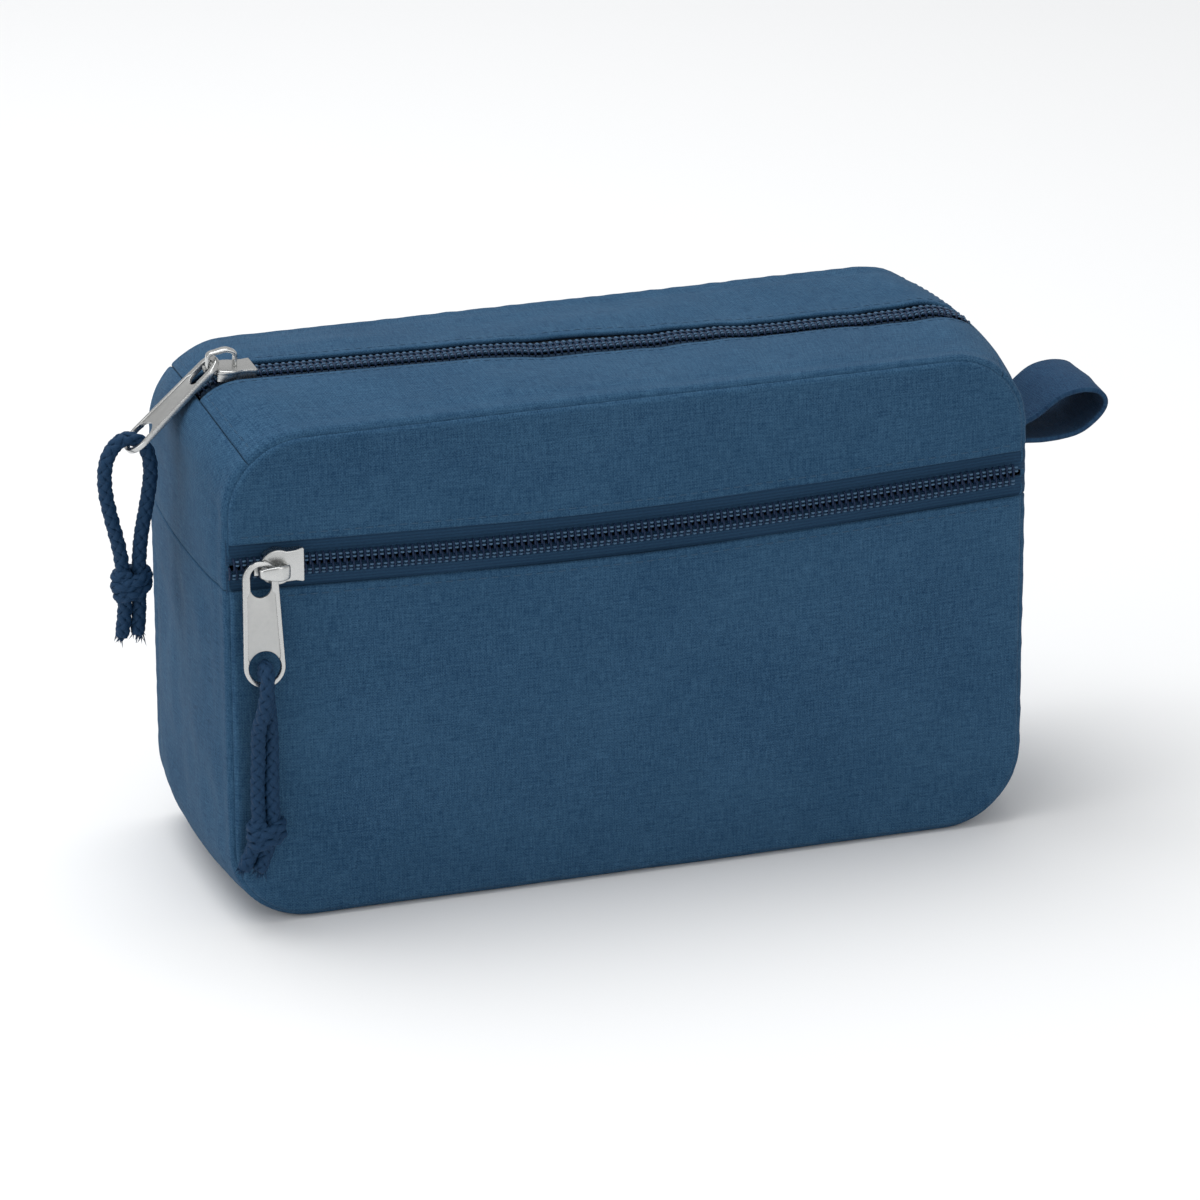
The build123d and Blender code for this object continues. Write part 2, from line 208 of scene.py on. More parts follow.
def linear(red, green, blue):
    """Colour as seen on a screen, 0 to 255, turned into the linear numbers a shader needs."""
    seen = np.array([red, green, blue]) / 255
    flat = np.where(seen < 0.04045, seen / 12.92, ((seen + 0.055) / 1.055) ** 2.4)
    return (*flat.tolist(), 1.0)


floor_material, wire = new_material("pale_floor")
finish_material(wire, linear(236, 237, 238), 0.85)
floor_mesh.materials.append(floor_material)

# %% [markdown]
# The case is a plain linen weave. Linen yarn is uneven: thick places, called slubs, run along
# single threads both ways, and they make the fine cross-hatching of the cloth. The pattern reads
# a UV map that holds millimetres along and across the cloth, so it bends with the surface:
# a checker of threads, streaks stretched along each direction, and a slow drift of the dye.

# %% Cloth materials
CLOTH_SHEEN, TAPE_SHEEN = 0.02, 0.1


def cloth_place(wire):
    """Millimetres along and across the cloth, from its UV map."""
    uv = wire.node("ShaderNodeUVMap", {"uv_map": "cloth"})
    along = wire.node("ShaderNodeSeparateXYZ", inputs={0: uv})
    return along, Wire(wire.tree, along.socket.node.outputs[1])


def cloth_material(name, dark, light, thread, streak, relief):
    """Woven cloth: thread is the pitch in mm, streak the share of the slubs in the colour."""
    material, w = new_material(name)
    along, across = cloth_place(w)
    warp = w.noise(w.vector(along * 3.0, across * 0.17), 1.0, 3.0)
    weft = w.noise(w.vector(along * 0.15, across * 2.8, 7.0), 1.0, 3.0)
    drift = w.noise(w.vector(along * 0.03, across * 0.03, 3.0), 1.0, 2.0)
    wave = pi / thread  # one crossing in two threads
    checker = w.math("SINE", along * wave) * w.math("SINE", across * wave)
    speckle = w.noise(w.vector(along, across, 1.0), 1.1 / thread, 1.0)
    slubs = (warp - 0.5) + (weft - 0.5)
    mask = 0.5 + slubs * (2.6 * streak) + (speckle - 0.5) * 1.3 + checker * 0.14
    mask = mask + (drift - 0.5) * 0.5
    colour = mask.clamped().mix(dark, light)
    height = checker * 0.5 + slubs * 1.6 + speckle * 0.6
    finish_material(w, colour, 0.86, w.bump(height, relief, 0.12 * MM), sheen=CLOTH_SHEEN)
    return material


linen = cloth_material(
    "blue_linen", linear(20, 56, 86), linear(54, 90, 119), 0.42, 0.48, 0.8
)
lining_cloth = cloth_material(
    "lining_cloth", linear(26, 38, 54), linear(38, 52, 70), 0.3, 0.3, 0.3
)
binding_cloth = cloth_material(
    "binding_cloth", linear(18, 28, 42), linear(30, 44, 62), 0.4, 0.3, 0.4
)
strap_cloth = cloth_material(
    "strap_cloth", linear(18, 44, 74), linear(42, 76, 106), 0.5, 0.35, 0.8
)

# %% [markdown]
# A zip tape is knitted, not woven: fine cords run along it. The same UV map gives the distance
# across the tape, and a sine of it makes the ribs.

# %% Tape, thread, coil, cord and metal materials
def ribbed_material(name, dark, light, pitch, relief):
    """Ribs along the piece, the given pitch apart in mm, with a fine break-up along them."""
    material, w = new_material(name)
    along, across = cloth_place(w)
    ribs = w.math("SINE", across * (2 * pi / pitch))
    grain = w.noise(w.vector(along * 1.2, across * 3.0), 1.0, 2.0)
    mask = 0.5 + ribs * 0.2 + (grain - 0.5) * 0.9
    colour = mask.clamped().mix(dark, light)
    height = ribs * 0.5 + grain
    finish_material(w, colour, 0.8, w.bump(height, relief, 0.1 * MM), sheen=TAPE_SHEEN)
    return material


def grained_material(name, dark, light, grain, roughness, relief, metallic=0.0):
    """Fine irregular grain in the piece's own coordinates: scale in grains per metre."""
    material, w = new_material(name)
    spot = w.node("ShaderNodeTexCoord", out=3)
    coarse = w.noise(spot, grain, 3.0)
    fine = w.noise(spot, 6 * grain, 2.0)
    shade = coarse * 0.6 + fine * 0.4
    rough = roughness[0] + shade * (roughness[1] - roughness[0])
    finish_material(w, shade.mix(dark, light), rough, w.bump(fine, relief, 0.05 * MM), metallic)
    return material


tape_cloth = ribbed_material("tape_cloth", linear(14, 42, 68), linear(32, 66, 94), 0.9, 0.6)
coil_nylon = grained_material(
    "coil_nylon", linear(8, 24, 48), linear(22, 44, 74), 1500, (0.28, 0.42), 0.1
)
thread_yarn = grained_material(
    "thread_yarn", linear(52, 80, 108), linear(84, 112, 138), 3000, (0.6, 0.8), 0.4
)
stitch_yarn = grained_material(
    "stitch_yarn", linear(40, 70, 98), linear(66, 96, 122), 3000, (0.6, 0.8), 0.4
)
cord_yarn = grained_material(
    "cord_yarn", linear(6, 34, 60), linear(30, 64, 96), 1800, (0.55, 0.8), 0.8
)
satin_metal = grained_material(
    "satin_metal", (0.48, 0.49, 0.49, 1), (0.62, 0.62, 0.61, 1), 900, (0.20, 0.34), 0.06, 1.0
)
recess_metal = grained_material(
    "recess_metal", (0.42, 0.43, 0.43, 1), (0.56, 0.56, 0.55, 1), 900, (0.34, 0.48), 0.3, 1.0
)

# %% [markdown]
# Every new surface here is a grid of points worked out with numpy. One helper gives the quads of
# such a grid, and another puts points, faces and UVs into a mesh object. Sheets are checked to
# face away from the inside of the case, and closed shapes have their poles merged.

# %% Mesh helpers
def grid_quads(rows, columns, ring=False):
    """Quads between neighbouring points of a grid; ring also joins its last column to its first."""
    row, column = np.meshgrid(
        np.arange(rows - 1), np.arange(columns if ring else columns - 1), indexing="ij"
    )
    after = (column + 1) % columns
    corners = [row * columns + column, (row + 1) * columns + column]
    corners += [(row + 1) * columns + after, row * columns + after]
    return np.stack(corners, -1).reshape(-1, 4)


def mesh_object(name, points, quads, uv, material):
    """Mesh object in metres from points in millimetres, smooth shaded."""
    mesh = bpy.data.meshes.new(name)
    mesh.from_pydata(points.reshape(-1, 3) * MM, [], quads)
    if uv is not None:
        layer = mesh.uv_layers.new(name="cloth")
        layer.data.foreach_set("uv", uv.reshape(-1, 2)[quads.ravel()].ravel())
    mesh.polygons.foreach_set("use_smooth", np.ones(len(mesh.polygons), bool))
    mesh.materials.append(material)
    obj = bpy.data.objects.new(name, mesh)
    bpy.context.scene.collection.objects.link(obj)
    return obj


CASE_MIDDLE = np.array([0.0, 0.0, 70.0])
SAME_PLACE = 1e-7


def sheet_object(name, points, uv, thick, material, inside=CASE_MIDDLE):
    """Sheet on a grid of points, facing away from a point inside, thickened inwards."""
    quads = grid_quads(*points.shape[:2])
    flat = points.reshape(-1, 3)
    a, b, c = (flat[quads[:, k]] for k in (0, 1, 2))
    if np.sum(np.cross(b - a, c - a) * (a - inside)) < 0:
        quads = quads[:, ::-1]
    obj = mesh_object(name, points, quads, uv, material)
    wall = obj.modifiers.new("thickness", "SOLIDIFY")
    wall.thickness, wall.offset = thick * MM, -1
    return obj


def merge_doubles(mesh, turn_outwards=True):
    """Join points that coincide, and where asked, turn every face of a closed shape outwards."""
    shape = bmesh.new()
    shape.from_mesh(mesh)
    bmesh.ops.remove_doubles(shape, verts=shape.verts, dist=SAME_PLACE)
    if turn_outwards:
        bmesh.ops.recalc_face_normals(shape, faces=shape.faces)
    shape.to_mesh(mesh)
    shape.free()


def settle(piece, body, slot, *nodes):
    """Ride a piece on its body, and say which CAD nodes it replaces; the slot argument is not used.
    """
    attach(piece, body)
    if nodes:
        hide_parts(*nodes)
    return piece


def closed_object(name, tubes, material):
    """Closed tubes, an array (tubes, rings, points round, 3); end rings shrunk to a point close."""
    count, rings, around = tubes.shape[:3]
    one = grid_quads(rings, around, ring=True)
    quads = (one[None] + np.arange(count)[:, None, None] * rings * around).reshape(-1, 4)
    obj = mesh_object(name, tubes, quads, None, material)
    merge_doubles(obj.data)
    return obj


def unit(vectors):
    """Vectors of length one."""
    return vectors / np.linalg.norm(vectors, axis=-1, keepdims=True)

# %% [markdown]
# Each pull has a thin braided cord: it passes through the pull's tip hole, and both strands are
# tied together in one overhand knot, with short tails. A NURBS curve through the route gives a
# smooth centreline. On it, eight carriers run round and round, four each way, and the radius of
# each rises and dips where it crosses the others, which is what makes a braid.

# %% Cords
BRAID_HALF = 2.0  # the yarns stand a little proud of the nominal size


def smooth_line(route):
    """Points in mm along a NURBS curve of order 3 with the route's points as control points."""
    data = bpy.data.curves.new("route", "CURVE")
    data.dimensions = "3D"
    spline = data.splines.new("NURBS")
    spline.points.add(len(route) - 1)
    weighted = np.ones((len(route), 4))
    weighted[:, :3] = route
    spline.points.foreach_set("co", weighted.ravel())
    spline.order_u = 3
    spline.use_endpoint_u = True
    spline.resolution_u = 14
    holder = bpy.data.objects.new("route", data)
    line = bpy.data.meshes.new_from_object(holder)
    points = np.empty(len(line.vertices) * 3)
    line.vertices.foreach_get("co", points)
    bpy.data.objects.remove(holder)
    bpy.data.meshes.remove(line)
    return points.reshape(-1, 3)


def along_line(line, step):
    """Evenly spaced points on a line, and the distance along it of each."""
    runs = np.concatenate([[0], np.cumsum(np.linalg.norm(np.diff(line, axis=0), axis=1))])
    distance = np.linspace(0, runs[-1], int(runs[-1] / step) + 2)
    points = np.stack([np.interp(distance, runs, line[:, k]) for k in range(3)], -1)
    return points, distance


def tube_rings(centres, side, upward, half_width, half_thick, around):
    """Rings of an oval section: side is the wide direction, and both halves may vary."""
    angle = np.arange(around) * 2 * pi / around
    wide = np.cos(angle)[:, None] * side[..., None, :] * half_width[..., None, None]
    thick = np.sin(angle)[:, None] * upward[..., None, :] * half_thick[..., None, None]
    return centres[..., None, :] + wide + thick


BRAID_PITCH, BRAID_STEP = 15.0, 0.55


def braid(line, reference):
    """Eight carriers about a line: radius is 0.66 of the braid's half, plus a wave at crossings."""
    half = BRAID_HALF
    centre, distance = along_line(line, BRAID_STEP)
    tangent = unit(np.gradient(centre, axis=0))
    first = unit(np.cross(tangent, reference))
    second = np.cross(tangent, first)
    turn = 2 * pi * distance / BRAID_PITCH
    tubes = []
    for direction in (1, -1):
        for carrier in range(4):
            angle = direction * turn + carrier * pi / 2
            outward = np.cos(angle)[:, None] * first + np.sin(angle)[:, None] * second
            radius = half * (0.66 + direction * 0.13 * np.cos(4 * turn))
            path = centre + outward * radius[:, None]
            heading = unit(np.gradient(path, axis=0))
            width = np.full(len(path), 0.50 * half)
            width[[0, -1]] = 0
            thick = width * 0.56
            side = unit(np.cross(heading, outward))
            tubes.append(tube_rings(path, side, outward, width, thick, 7))
    core = np.full(len(centre), 0.52 * half)
    core[[0, -1]] = 0
    tubes.append(tube_rings(centre, first, second, core, core, 7))
    return np.stack(tubes)


KNOT_TURNS = 2.35


def overhand_knot(centre, halves, name):
    """Two wraps round both strands: an oval helix whose ends turn in and cross the front."""
    t = np.linspace(0, 1, 260)
    angle = 2 * pi * KNOT_TURNS * t + 2.2
    pinch = np.clip(np.minimum(t, 1 - t) / 0.13, 0, 1)
    reach = 0.35 + 0.65 * np.sin(pinch * pi / 2)
    room = np.array(halves) - BRAID_HALF
    x = np.cos(angle) * reach * room[0]
    y = np.sin(angle) * reach * room[1]
    z = (2 * t - 1) * room[2] + 0.22 * room[0] * np.cos(angle)
    line = np.array(centre) + np.stack([x, y, z], -1)
    return closed_object(name, braid(line, np.array([0.05, 0.08, 1.0])), cord_yarn)


def frayed_end(end, heading, seed, name):
    """Loose yarns at a cut end: short tapered hairs that fan out from a small disc."""
    draw = np.random.default_rng(seed)
    count, rings = 34, 4
    spread = draw.normal(0, 0.26, (count, 3))
    base = end - heading * 1.6 + draw.normal(0, 0.5, (count, 3))
    reach = draw.uniform(1.9, 3.6, (count, 1, 1))
    t = np.linspace(0, 1, rings)[None, :, None]
    bend = draw.normal(0, 0.5, (count, 1, 3)) * t**2
    lines = base[:, None] + (heading + spread)[:, None] * reach * t + bend
    side = unit(np.cross(np.broadcast_to(heading, (count, rings, 3)), [0.3, 0.9, 0.2]))
    other = np.cross(side, heading)
    width = np.broadcast_to(np.array([0.0, 0.20, 0.17, 0.0]), (count, rings))
    return closed_object(name, tube_rings(lines, side, other, width, width, 5), cord_yarn)


MAIN_ROUTE = [
    (-131.4, 0.2, 71.5),
    (-130.3, -0.3, 79.0),
    (-130.4, 0.1, 87.5),
    (-131.1, 0.3, 96.0),
    (-133.2, 0.2, 105.0),
    (-135.2, -0.2, 115.0),
    (-134.4, -0.2, 123.8),
    (-129.3, 0.0, 129.0),
    (-123.4, 0.0, 126.2),
    (-121.8, 0.2, 119.0),
    (-123.4, 0.3, 109.0),
    (-125.7, 0.0, 99.0),
    (-126.5, -0.2, 87.5),
    (-126.3, 0.2, 79.0),
    (-127.2, -0.2, 71.8),
]
POCKET_ROUTE = [
    (-110.8, -44.2, 19.0),
    (-108.4, -45.0, 24.5),
    (-106.5, -45.4, 31.0),
    (-106.8, -45.1, 41.0),
    (-106.3, -45.4, 51.0),
    (-106.6, -46.4, 59.5),
    (-105.6, -50.2, 66.5),
    (-104.9, -51.1, 72.8),
    (-104.6, -50.4, 76.2),
    (-104.2, -46.8, 77.9),
    (-103.6, -43.4, 76.0),
    (-103.1, -42.8, 70.6),
    (-102.6, -44.4, 62.0),
    (-102.5, -45.1, 52.5),
    (-102.9, -45.3, 42.0),
    (-102.6, -45.4, 31.0),
    (-104.2, -45.0, 24.5),
    (-106.6, -44.4, 18.0),
]


def tied_cord(name, route, reference, knot_centre, knot_halves, body, nodes):
    """One cord with its knot and frayed tails, riding on its body."""
    line = smooth_line(route)
    cord = closed_object(f"{name}_braid", braid(line, np.array(reference)), cord_yarn)
    knot = overhand_knot(knot_centre, knot_halves, f"{name}_knot_wraps")
    pieces = [settle(knot, body, "cord", nodes[1])]
    settle(cord, body, "cord", nodes[0])
    for number, (tip, before) in enumerate(((line[0], line[12]), (line[-1], line[-13]))):
        tail = frayed_end(tip, unit(tip - before), number, f"{name}_frayed_tail_{number}")
        pieces.append(settle(tail, body, "cord"))


tied_cord(
    "main_cord", MAIN_ROUTE, (0, 1, 0), (-128.4, 0, 87.0), (5.9, 4.7, 5.2), "main_cord",
    ("main_pull_cord", "main_cord_knot"),
)
tied_cord(
    "pocket_cord", POCKET_ROUTE, (1, 0, 0), (-104.6, -45.2, 29.5), (5.7, 4.3, 4.9), "pocket_cord",
    ("pocket_pull_cord", "pocket_cord_knot"),
)

# %% [markdown]
# The cloth of the case is one band, the gusset, that runs round between two flat panels. Seen from
# the front its outline is a rounded box, a little larger halfway back than at the two seams,
# so the band bulges. Both outlines are made of the same runs and arcs with the same number of
# points, and a point of the band mixes the two by how far back it lies.

# %% Outlines of the case
SEAM_Y = 38.9
SEAM = {"half": 112.9, "left": 139.4, "right": 139.4, "top": 22.5, "foot": 22.5, "tilt": 0.0}
MIDDLE = {"half": 115.0, "left": 144.5, "right": 138.0, "top": 16.0, "foot": 20.0, "tilt": 1.619}
SIDE_SEAM_Z = 97.0


def run(start, end):
    """Straight run of points."""
    return np.linspace(start, end, 120)


def arc(centre, radius, start, end):
    """Arc between two angles in degrees."""
    angle = np.radians(np.linspace(start, end, 120))
    return np.array(centre) + radius * np.stack([np.cos(angle), np.sin(angle)], -1)


def outline(shape, part):
    """Points (x, z) of one part of an outline, clockwise seen from the front."""
    half, top, foot, tilt = (shape[key] for key in ("half", "top", "foot", "tilt"))
    lean = radians(tilt)
    drop = top * (1 / cos(lean) - np.tan(lean))
    left_z = shape["left"] - top * (1 / cos(lean) + np.tan(lean))
    right_z = shape["right"] - drop
    left, right = (-half + top, left_z), (half - top, right_z)
    if part == "bottom":
        pieces = [
            run((half, SIDE_SEAM_Z), (half, foot)),
            arc((half - foot, foot), foot, 0, -90),
            run((half - foot, 0), (-half + foot, 0)),
            arc((-half + foot, foot), foot, -90, -180),
            run((-half, foot), (-half, SIDE_SEAM_Z)),
        ]
    elif part == "left":
        pieces = [run((-half, SIDE_SEAM_Z), (-half, left_z)), arc(left, top, 180, 135)]
    elif part == "right":
        pieces = [arc(right, top, 45, 0), run((half, right_z), (half, SIDE_SEAM_Z))]
    else:
        start, end = arc(left, top, 135, 90 - tilt), arc(right, top, 90 - tilt, 45)
        pieces = [start, run(start[-1], end[0]), end]
    return np.concatenate([pieces[0]] + [piece[1:] for piece in pieces[1:]])


parts = {}
for part in ("bottom", "left", "top", "right"):
    seam, middle = outline(SEAM, part), outline(MIDDLE, part)
    lengths = np.linalg.norm(np.diff(middle, axis=0), axis=1)
    parts[part] = (seam, middle, np.concatenate([[0], np.cumsum(lengths)]))
    print(part, "length in mm", round(parts[part][2][-1], 1))

# %% [markdown]
# Sewn cloth is never quite flat. Long shallow waves come from handling, and short puckers come
# from the stitching and die away a few millimetres from each seam. Both are sums of sine waves
# in fixed directions, which is repeatable and needs no simulation.

# %% Waves and puckers
def waves(a, b, seed, longest=90.0, count=9):
    """Sum of sines over the plane (a, b), scaled to about minus one to one."""
    draw = np.random.default_rng(seed)
    total = np.zeros(np.broadcast(a, b).shape)
    for length in np.geomspace(longest, longest / 5, count):
        angle, shift = draw.uniform(0, 2 * pi, 2)
        phase = (a * np.cos(angle) + b * np.sin(angle)) * 2 * pi / length + shift
        total = total + np.sin(phase) * length / longest
    return total / 2.2


def puckers(along, off_seam, seed, pitch=6.5, reach=4.0):
    """Small waves along a seam that fade with the distance from it."""
    draw = np.random.default_rng(seed)
    total = np.zeros(np.broadcast(along, off_seam).shape)
    for length in pitch * draw.uniform(0.7, 1.6, 4):
        total = total + np.sin(along * 2 * pi / length + draw.uniform(0, 2 * pi))
    return total / 3 * np.exp(-off_seam / reach)


def roll(distance, radius):
    """How far a rolled edge has dropped, this far from its end: a quarter circle."""
    inside = np.clip(radius - distance, 0, radius)
    return radius - np.sqrt(radius**2 - inside**2)


SEAM_ROLL = 1.7  # cloth turns into the panel seams with this radius
CROSS_ROLL = 0.8


def ridge_wave(x):
    """The slack top dips and rises a little along its length."""
    return -0.8 * np.sin(pi * (x + 30) / 110) * np.clip(1 - (x / 100) ** 2, 0, 1)


def gusset_point(part, s, y, lift=0.0):
    """Point of the band at s mm along its part and y mm back, lifted along its normal."""
    seam, middle, length = parts[part]
    s, y, lift = np.broadcast_arrays(s, y, lift)
    share = np.clip(np.abs(y) / SEAM_Y, 0, 1)[..., None] ** 2
    at = [np.interp(s, length, array[:, k]) for array in (seam, middle) for k in (0, 1)]
    base = np.stack(at[2:], -1) * (1 - share) + np.stack(at[:2], -1) * share
    slope = [np.gradient(array[:, k], length) for array in (seam, middle) for k in (0, 1)]
    turn = [np.interp(s, length, one) for one in slope]
    tangent = unit(np.stack(turn[2:], -1) * (1 - share) + np.stack(turn[:2], -1) * share)
    normal = np.stack([-tangent[..., 1], tangent[..., 0]], -1)
    seed = {"bottom": 3, "left": 5, "top": 7, "right": 9}[part]
    off_seam = SEAM_Y - np.abs(y)
    pucker = 0.16 * puckers(s, off_seam, seed + np.int64(np.max(y) > 30))
    ends = np.minimum(s, length[-1] - s)
    calm = np.clip(off_seam / 12, 0, 1) * np.clip(ends / 14, 0, 1)
    slack = 0.7 * waves(s, y, seed, 60) * calm
    offset = slack + pucker - 0.35 * np.exp(-((off_seam - 5.5) / 2.2) ** 2)
    if part == "bottom":
        raised = np.clip(base[..., 1] / 25, 0, 1)
        offset = offset * raised - 0.25 * (1 - raised) * (1 + waves(s, y, 21, 60)) * 0.5
    if part == "top":
        track = np.clip((base[..., 0] + 40) / 25, 0, 1)
        beside_zip = np.clip(2 - np.abs(y) / 9, 0, 1)
        offset = offset - slack * (1 - track) * beside_zip
        offset = offset + ridge_wave(base[..., 0]) * track * (1 - share[..., 0])
    offset = offset + lift - roll(np.clip(ends, 0, None), CROSS_ROLL)
    flat = base + normal * offset[..., None]
    return np.stack([flat[..., 0], y, flat[..., 1]], -1)

# %% [markdown]
# Each part of the band is its own cut of cloth. Rows of its grid follow the outline and are close
# together at the cross seams, and columns run from the front seam to the back seam, where the cloth
# turns in through a quarter circle. Beside a zip the cloth is folded under: the grid goes round
# the fold and comes back below, so the edge is thick and round, as two layers are.

# %% The band: bottom gusset, end tabs and top strips
CLOTH = 0.6
FOLD_Y = 6.5
FOLD = 0.75
EDGE_STEPS = np.array([0.0, 0.1, 0.25, 0.45, 0.8, 1.3, 2.0, 3.2])


def close_ends(length, step):
    """Places from 0 to a length, close together near both ends."""
    count = int((length - 2 * EDGE_STEPS[-1]) / step) + 2
    middle = np.linspace(EDGE_STEPS[-1], length - EDGE_STEPS[-1], count)[1:-1]
    return np.concatenate([EDGE_STEPS, middle, length - EDGE_STEPS[::-1]])


def seam_turn():
    """Last columns at a panel seam: y and drop along a quarter circle into the seam."""
    angle = np.radians(np.linspace(0, 90, 8)[1:])
    return SEAM_Y - SEAM_ROLL + SEAM_ROLL * np.sin(angle), -SEAM_ROLL * (1 - np.cos(angle))


def fold_turn():
    """Columns round a folded edge, from under the cloth outwards: y and drop."""
    angle = np.radians(np.linspace(180, 0, 11)[:-1])
    under = np.array([4.0, 2.0]) + FOLD_Y + FOLD
    y = np.concatenate([under, FOLD_Y + FOLD - FOLD * np.sin(angle)])
    drop = np.concatenate([[-2 * FOLD] * 2, -FOLD * (1 - np.cos(angle))])
    return y, drop


def band_sheet(name, part, columns, drop, node):
    """One cut of the band on a grid of its own s rows and y columns."""
    s = close_ends(parts[part][2][-1], 1.7)
    points = gusset_point(part, s[:, None], columns[None], drop[None])
    travelled = np.concatenate([[0], np.cumsum(np.hypot(np.diff(columns), np.diff(drop)))])
    uv = np.stack(np.broadcast_arrays(s[:, None], travelled[None]), -1)
    cloth = sheet_object(name, points, uv, CLOTH, linen)
    settle(cloth, "case", "case_cloth", node)


turn_y, turn_drop = seam_turn()
across = np.linspace(-SEAM_Y + SEAM_ROLL, SEAM_Y - SEAM_ROLL, 47)
full_y = np.concatenate([-turn_y[::-1], across, turn_y])
full_drop = np.concatenate([turn_drop[::-1], 0 * across, turn_drop])
for part, name, node in (
    ("bottom", "gusset_cloth", "bottom_gusset"),
    ("left", "left_end_cloth", "left_end_tab"),
    ("right", "right_end_cloth", "right_end_tab"),
):
    band_sheet(name, part, full_y, full_drop, node)

fold_y, fold_drop = fold_turn()
across = np.linspace(FOLD_Y + FOLD, SEAM_Y - SEAM_ROLL, 20)
strip_y = np.concatenate([fold_y, across, turn_y])
strip_drop = np.concatenate([fold_drop, 0 * across, turn_drop])
band_sheet("top_back_cloth", "top", strip_y, strip_drop, "top_back_strip")
band_sheet("top_front_cloth", "top", -strip_y[::-1], strip_drop[::-1], "top_front_strip")

# %% [markdown]
# The front and back are cut to the same rounded box and sewn to the band edge to edge. Each panel
# is a soft pillow: it stands out most in the middle, and within a millimetre of the seam it turns
# in to meet the band, which leaves the fine dark groove. Columns of the grid keep a fixed
# distance from the outline near it, so the groove is as sharp round the corners.

# %% Front and back panels
PANEL_HALF, PANEL_LOW, PANEL_HIGH = 111.5, 1.4, 138.0
PANEL_RADIUS = 21.1
PANEL_ROLL = 1.5
FACE_Y = 40.0
ZIP_Z = 103.5
LOW_FOLD_Z, HIGH_FOLD_Z = ZIP_Z - 6.5, ZIP_Z + 6.5


def half_width(z):
    """Half of the panel's width at a height: less in the rounded corners."""
    into = np.clip(PANEL_RADIUS - np.minimum(z - PANEL_LOW, PANEL_HIGH - z), 0, PANEL_RADIUS)
    return PANEL_HALF - PANEL_RADIUS + np.sqrt(PANEL_RADIUS**2 - into**2)


def inside_edge(x, z):
    """Distance from a point of the panel to its outline."""
    middle, half_high = (PANEL_LOW + PANEL_HIGH) / 2, (PANEL_HIGH - PANEL_LOW) / 2
    past_x = np.abs(x) - (PANEL_HALF - PANEL_RADIUS)
    past_z = np.abs(z - middle) - (half_high - PANEL_RADIUS)
    corner = np.hypot(np.clip(past_x, 0, None), np.clip(past_z, 0, None))
    return PANEL_RADIUS - corner - np.minimum(np.maximum(past_x, past_z), 0)


def belly(x, power):
    """Nothing at the side seams and one in the middle."""
    return np.clip(1 - (x / 112) ** 2, 0, 1) ** power


def zip_sag(x):
    """The pocket zip hangs a little lower in the middle than at the side seams."""
    return 2.4 * belly(x, 1.3)


ZIP_BULGE = 1.8


def front_bulge(x, z):
    """How far the front stands out: least at the seams, more at the zip, most below it."""
    low = np.sin(pi * 0.78 * np.clip(z / LOW_FOLD_Z, 0, 1)) * ZIP_BULGE / sin(pi * 0.78)
    high = ZIP_BULGE * (1 - np.clip((z - HIGH_FOLD_Z) / (PANEL_HIGH - HIGH_FOLD_Z), 0, 1) ** 1.6)
    power = 1.6 - 0.7 * np.sin(pi * np.clip(z / LOW_FOLD_Z, 0, 1))
    return np.where(z < ZIP_Z, low, high) * belly(x, power)


def front_surface(x, z, lift=0.0):
    """Point of the front cloth, with the zip's sag, soft waves and puckers at the seams."""
    x, z, lift = np.broadcast_arrays(x, z, lift)
    edge = inside_edge(x, z)
    soft = 0.35 * waves(x, z, 31, 80) * np.clip(edge / 14, 0, 1)
    pucker = 0.13 * puckers(x + z, edge, 33)
    out = front_bulge(x, z) + soft + pucker + lift
    sag = zip_sag(x) * np.clip(np.minimum(z / LOW_FOLD_Z, (PANEL_HIGH - z) / 28.0), 0, 1)
    return np.stack([x, -FACE_Y - out + roll(edge, PANEL_ROLL), z - sag], -1)


def back_surface(x, z, lift=0.0):
    """Point of the back cloth: one pillow over the whole height."""
    x, z, lift = np.broadcast_arrays(x, z, lift)
    edge = inside_edge(x, z)
    share = np.clip((z - PANEL_LOW) / (PANEL_HIGH - PANEL_LOW), 0, 1)
    out = 3.2 * np.sin(pi * share) ** 0.8 * belly(x, 0.9) + lift
    out = out + 0.5 * waves(x, z, 41, 80) * np.clip(edge / 14, 0, 1)
    out = out + 0.13 * puckers(x + z, edge, 43)
    return np.stack([x, FACE_Y + out - roll(edge, PANEL_ROLL), z], -1)


def panel_columns(z):
    """Column places for each row: fixed steps off both ends, and even between them."""
    half = half_width(z)[:, None]
    inner = np.linspace(-1, 1, 131)[1:-1] * (half - EDGE_STEPS[-1])
    return np.concatenate([EDGE_STEPS - half, inner, half - EDGE_STEPS[::-1]], axis=1)


def panel_sheet(name, surface, z, lift, flat, node):
    """Panel on rows at heights z; folded rows keep the last z and go under by their lift."""
    x = panel_columns(z)
    rows = np.broadcast_to(z[:, None], x.shape)
    points = surface(x, rows, lift[:, None])
    travelled = np.concatenate([[0], np.cumsum(np.hypot(np.diff(z), np.diff(lift)))]) + z[0]
    uv = np.stack([x, np.broadcast_to(travelled[:, None], x.shape)], -1)
    cloth = sheet_object(name, points, uv, CLOTH, linen)
    settle(cloth, "case", "case_cloth", node)
    print(name, "flat size in mm", flat)


